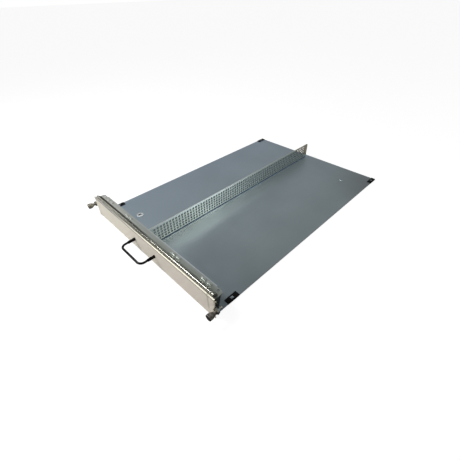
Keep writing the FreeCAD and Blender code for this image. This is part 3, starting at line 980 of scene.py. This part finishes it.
# %% Edge glides
# Corners of a solid's loose triangles that lie closer than this, in metres, are merged.
SOLID_GAP = 1e-6
FLAT_DEGREES = 2
COPY_SHARP = 50
BEVEL_DEGREES = 40
BEVEL_SEGMENTS = 3
GLIDE_BEVEL = 0.25 * MM


def softened(node, name, finish, body, width):
    """A copy of a solid, merged and cleared of flat edges, with its edges rounded by a Bevel modifier."""
    shell = bmesh.new()
    shell.from_mesh(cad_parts[node].data)
    bmesh.ops.remove_doubles(shell, verts=shell.verts, dist=SOLID_GAP)
    flat = math.radians(FLAT_DEGREES)
    bmesh.ops.dissolve_limit(shell, angle_limit=flat, verts=shell.verts, edges=shell.edges)
    mesh = bpy.data.meshes.new(name)
    shell.to_mesh(mesh)
    shell.free()
    piece = dressed(name, mesh, finish, body, COPY_SHARP)
    bevel = piece.modifiers.new("soft edges", "BEVEL")
    bevel.width, bevel.segments = width, BEVEL_SEGMENTS
    bevel.limit_method, bevel.angle_limit = "ANGLE", math.radians(BEVEL_DEGREES)
    bevel.harden_normals = True
    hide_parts(node)


for end in ("front", "back"):
    for name in ("left", "right"):
        clip = f"{end}_{name}_clip"
        softened(f"{end}_{name}_glide", clip, black_plastic, "carrier", GLIDE_BEVEL)

# %% [markdown]
# ## Sheet edges
#
# Sheared sheet has a slightly rounded edge that catches a line of light. The tray takes the same bevelled
# copy as the glides, with a width well under the sheet's thickness.

# %% Sheet edges
SHEET_BEVEL = 0.3 * MM
softened("carrier_tray", "tray_sheet", tray_zinc, "carrier", SHEET_BEVEL)

# %% [markdown]
# ## A pressed collar
#
# The round hole at the left of the plate has a pale pressed rim. It could be modelled into the sheet, but
# the solid is never changed, so a flat ring with rounded edges is turned about the upright axis and laid on
# the plate.

# %% Collar round the plate's hole
HOLE_SPOT = mm(-113.4, 54.0)
HOLE_RADIUS = 4.0 * MM
RIM_WIDTH = 3 * MM
RIM_THICK = 0.4 * MM
RIM_EDGES = mm(0.05, 0.2, 0.2, 0.05)
# The wall stands on the plate, so its underside gives the plate's height.
plate_z = wall_low.z
rim_top = plate_z + RIM_THICK
rim_radius = HOLE_RADIUS + RIM_WIDTH
section = [(plate_z, HOLE_RADIUS), (rim_top, HOLE_RADIUS), (rim_top, rim_radius), (plate_z, rim_radius)]
section = rounded(section, RIM_EDGES, steps=4, closed=True)
ring = turned(section, (*HOLE_SPOT, 0), axis="Z", closed=True)
add_piece("floor_collar", ring, collar_zinc, "carrier")

# %% [markdown]
# ## Surround
#
# A white surround and a pale floor stand for a studio table. Metal shows what it mirrors, so the surround
# matters more here than the lamps: mirrored rays find it grey, darker low in front of the panel, overhead
# and far behind. Only the camera sees it as white. A picture of a studio round the scene would do the same,
# but ramps along the axes are easier to tune.

# %% Surround
WHITE = (1, 1, 1, 1)
FRONT_LEVEL = 0.06
BACK_LEVEL = 0.48
CEILING_LEVEL = 0.2 * BACK_LEVEL
FAR_LEVEL = 0.5 * BACK_LEVEL
# Directions, as parts of a unit vector, between which one level gives way to another.
BEHIND_Y = (-0.4, 0.0)
ABOVE_Z = (0.25, 0.55)
CEILING_Z = (0.66, 0.76)
FAR_Y = (0.78, 0.86)


def studio_world():
    """A surround that is white to the camera alone.

    To other rays its strength is the larger of two ramps, behind and above, but never more than the ramps
    of the ceiling and the far end.
    """
    world = bpy.data.worlds.new("studio")
    bpy.context.scene.world = world
    world.use_nodes = True
    recipe = Recipe(world.node_tree)
    towards = recipe.axes("Generated")
    behind = recipe.ramp(towards["Y"], *BEHIND_Y, FRONT_LEVEL, BACK_LEVEL)
    above = recipe.ramp(towards["Z"], *ABOVE_Z, FRONT_LEVEL, BACK_LEVEL)
    ceiling = recipe.ramp(towards["Z"], *CEILING_Z, BACK_LEVEL, CEILING_LEVEL)
    far = recipe.ramp(towards["Y"], *FAR_Y, BACK_LEVEL, FAR_LEVEL)
    level = recipe.math("MINIMUM", recipe.math("MAXIMUM", behind, above), ceiling, far)
    grey = recipe.feed(recipe.nodes["Background"], {"Color": WHITE, "Strength": level})
    seen = recipe.add("ShaderNodeBackground", {"Color": WHITE, "Strength": 1.0})
    ray = recipe.nodes.new("ShaderNodeLightPath")
    surface = recipe.blend(ray.outputs["Is Camera Ray"], grey.outputs[0], seen.outputs[0])
    recipe.feed(recipe.nodes["World Output"], {"Surface": surface})
    return world


print("surround:", studio_world().name)

# %% [markdown]
# ## Floor
#
# The floor is one large square just under the glides. It takes the part's shadow, and to the camera it also
# glows a little, so that it looks as pale as the surround. Under the tray the glow would be seen through the
# holes, so it stops a few millimetres inside the outline. Mirrored rays find the floor dark.

# %% Floor
FLOOR_DROP = 0.1 * MM
FLOOR_REACH = 12.0
FLOOR_GREY = (0.55, 0.55, 0.55, 1)
FLOOR_ROUGHNESS = 0.9
FLOOR_GLOW = 1.3
GLOW_SHARE = 0.7
GLOW_INSET = mm(4, 2)
GLOW_FRONT_Y = mm(2, 4)
MIRRORED_NEAR = (0.05, 0.05, 0.05, 1)
MIRRORED_FAR = (0.34, 0.31, 0.26, 1)
MIRRORED_Y = mm(400, 550)


def floor_finish():
    """Matt grey that glows to the camera outside the tray's outline and is dark to mirrored rays."""
    material, shader, recipe = new_finish("studio_floor", 0.0, FLOOR_ROUGHNESS)
    recipe.feed(shader, {"Base Color": FLOOR_GREY, "Specular IOR Level": 0.0})
    spot = recipe.axes()
    side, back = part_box("back_right_glide")[1].x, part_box("carrier_tray")[1].y
    outside = recipe.ramp(recipe.math("ABSOLUTE", spot["X"]), *(side - inset for inset in GLOW_INSET))
    behind = recipe.ramp(spot["Y"], *(back - inset for inset in GLOW_INSET))
    before = recipe.ramp(spot["Y"], *GLOW_FRONT_Y, 1, 0)
    clear = recipe.math("MAXIMUM", outside, behind, before)
    ray = recipe.nodes.new("ShaderNodeLightPath")
    share = recipe.math("MULTIPLY", ray.outputs["Is Camera Ray"], clear, GLOW_SHARE)
    glow = recipe.add("ShaderNodeEmission", {"Strength": FLOOR_GLOW})
    pale = recipe.blend(share, shader.outputs[0], glow.outputs[0])
    tint = recipe.mix(recipe.ramp(spot["Y"], *MIRRORED_Y), MIRRORED_NEAR, MIRRORED_FAR)
    dark = recipe.add("ShaderNodeBsdfDiffuse", {"Color": tint})
    surface = recipe.blend(ray.outputs["Is Glossy Ray"], pale, dark.outputs[0])
    recipe.feed(recipe.nodes["Material Output"], {"Surface": surface})
    return material


corners = np.array([(-1, -1, 0), (1, -1, 0), (1, 1, 0), (-1, 1, 0)]) * FLOOR_REACH
corners[:, 2] = cad_low.z - FLOOR_DROP
mesh = bpy.data.meshes.new("studio_floor")
mesh.from_pydata(corners.tolist(), [], [(0, 1, 2, 3)])
mesh.materials.append(floor_finish())
floor = bpy.data.objects.new("studio_floor", mesh)
bpy.context.scene.collection.objects.link(floor)
print("floor:", floor.name)

# %% [markdown]
# ## Lamps
#
# Three softboxes light the part. The key hangs high at the front left, where the crests of the fingers
# mirror it as a row of beads. A weak fill in front lifts the face. The side lamp stands behind at the right:
# the wall sees it by way of the plate, and the plate by way of the wall, which gives the glow between them.

# %% Lamps
# Name, place, target, size and power of each lamp, in metres and watts.
LAMPS = (
    ("key", (-0.50, -0.36, 0.84), (-0.02, 0.0, 0.0), 0.45, 11.5),
    ("fill", (0.0, -1.1, 0.35), (0.0, 0.0, 0.0), 0.60, 2.3),
    ("side", (1.04, 0.955, 0.91), (0.0, 0.18, 0.0), 0.45, 2.35),
)
for name, place, target, size, power in LAMPS:
    lamp = bpy.data.lights.new(name, "AREA")
    lamp.size, lamp.energy = size, power
    holder = bpy.data.objects.new(name, lamp)
    holder.location = place
    holder.rotation_euler = (Vector(target) - Vector(place)).to_track_quat("-Z", "Y").to_euler()
    bpy.context.scene.collection.objects.link(holder)
    print(f"{name} lamp: {power} W")

# %% [markdown]
# ## Camera
#
# The camera is where the photograph was taken from, close to the right end and fairly high, with a wide
# lens. Three turns set it up, which is easier to read than a matrix or a tracked target.

# %% Camera
CAMERA_AZIMUTH = 45.70
CAMERA_ELEVATION = 40.48
CAMERA_ROLL = -1.04
CAMERA_PLACE = mm(369.1, -149.1, 347.4)
CAMERA_LENS = 22.27
CAMERA_SENSOR = 36
CAMERA_CLIP = 0.01


def aimed_camera():
    """A camera turned by azimuth about Z, tipped down by elevation and rolled about its own axis."""
    lens = bpy.data.cameras.new("camera")
    lens.lens, lens.sensor_width = CAMERA_LENS, CAMERA_SENSOR
    lens.clip_start = CAMERA_CLIP
    camera = bpy.data.objects.new("camera", lens)
    turn = Matrix.Rotation(math.radians(CAMERA_AZIMUTH), 4, "Z")
    tip = Matrix.Rotation(math.radians(90 - CAMERA_ELEVATION), 4, "X")
    roll = Matrix.Rotation(math.radians(CAMERA_ROLL), 4, "Z")
    camera.matrix_world = Matrix.Translation(CAMERA_PLACE) @ turn @ tip @ roll
    bpy.context.scene.collection.objects.link(camera)
    bpy.context.scene.camera = camera
    return camera


print("camera:", aimed_camera().name)
bpy.context.scene.view_settings.view_transform = "Standard"

# %% [markdown]
# ## Sizes
#
# The solids' box is printed in millimetres where the part is loaded. The dressed part has to stay
# inside the solids' box.
